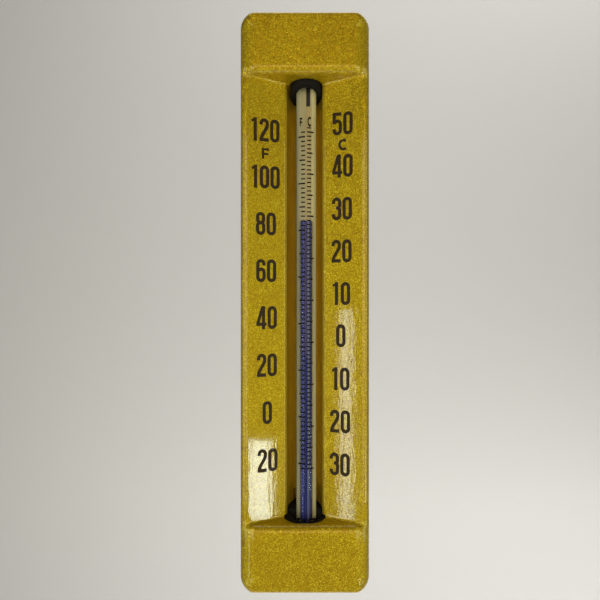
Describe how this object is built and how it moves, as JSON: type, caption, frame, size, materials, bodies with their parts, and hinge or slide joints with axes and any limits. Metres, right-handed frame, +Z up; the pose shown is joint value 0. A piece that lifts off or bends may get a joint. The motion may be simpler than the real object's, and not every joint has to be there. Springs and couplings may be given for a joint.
{
  "type": "industrial v-form thermometer",
  "caption": "Industrial liquid-in-glass thermometer: a V-shaped cast case carries the scale tube and turns on a rear threaded brass stem.",
  "frame": {"origin": "on the stem axis, in the plane where the hexagon seats on the boss of the pipe or duct (its rear face)", "axes": "+Z up along the scale, +Y along the stem into the pipe, -Y towards the reader, +X to the reader's right"},
  "size_m": [0.036, 0.11, 0.164],
  "materials": {
    "case_lacquer": "gold metal-flake lacquer under a clear coat, on an aluminium die casting",
    "stem_brass": "turned, bright",
    "nut_brass": "turned, bright",
    "spring_steel": "plain spring steel",
    "screw_steel": "zinc plated",
    "bush_rubber": "matt black moulded rubber",
    "packing_fibre": "woven fibre cord, compressed",
    "tube_glass": "fire-polished clear glass",
    "opal_enamel": "cream opal glass strip fused in the back of the tube",
    "blue_spirit": "dyed thermometer spirit",
    "scale_print": "dark printing ink: numbers on the case and scale lines on the tube"
  },
  "bodies": {
    "stem": {"stem_connector": "stem_brass", "immersion_tube": "stem_brass", "stem_tip": "stem_brass", "retaining_ring": "spring_steel"},
    "washer": {"spring_washer": "spring_steel"},
    "nut": {"lock_nut": "nut_brass"},
    "head": {"case": "case_lacquer", "rear_cover": "case_lacquer", "cover_screw_1": "screw_steel", "cover_screw_2": "screw_steel", "cover_screw_3": "screw_steel", "cover_screw_4": "screw_steel", "upper_bush": "bush_rubber", "lower_bush": "bush_rubber", "insert_spring": "spring_steel", "top_plug": "nut_brass", "neck_packing": "packing_fibre", "glass_tube": "tube_glass", "opal_strip": "opal_enamel", "spirit_fill": "blue_spirit", "spirit_column": "blue_spirit"},
    "spirit_top": {"meniscus": "blue_spirit"}
  },
  "joints": [
    {"name": "head_swivel", "type": "hinge", "parent": "stem", "child": "head", "pos_m": [0, 0, 0], "axis": [0, 1, 0], "continuous": true},
    {"name": "washer_slide", "type": "slide", "parent": "stem", "child": "washer", "axis": [0, 1, 0], "range_m": [0, 0.00113]},
    {"name": "nut_turn", "type": "hinge", "parent": "washer", "child": "nut", "pos_m": [0, 0, 0], "axis": [0, 1, 0], "range_deg": [0, 270]},
    {"name": "spirit_rise", "type": "slide", "parent": "head", "child": "spirit_top", "axis": [0, 0, 1], "range_m": [-0.07, 0.0257], "deforming": ["spirit_column"]}
  ],
  "couplings": [
    {"joint": "washer_slide", "follows": "nut_turn", "m_per_rad": 0.00023873}
  ]
}
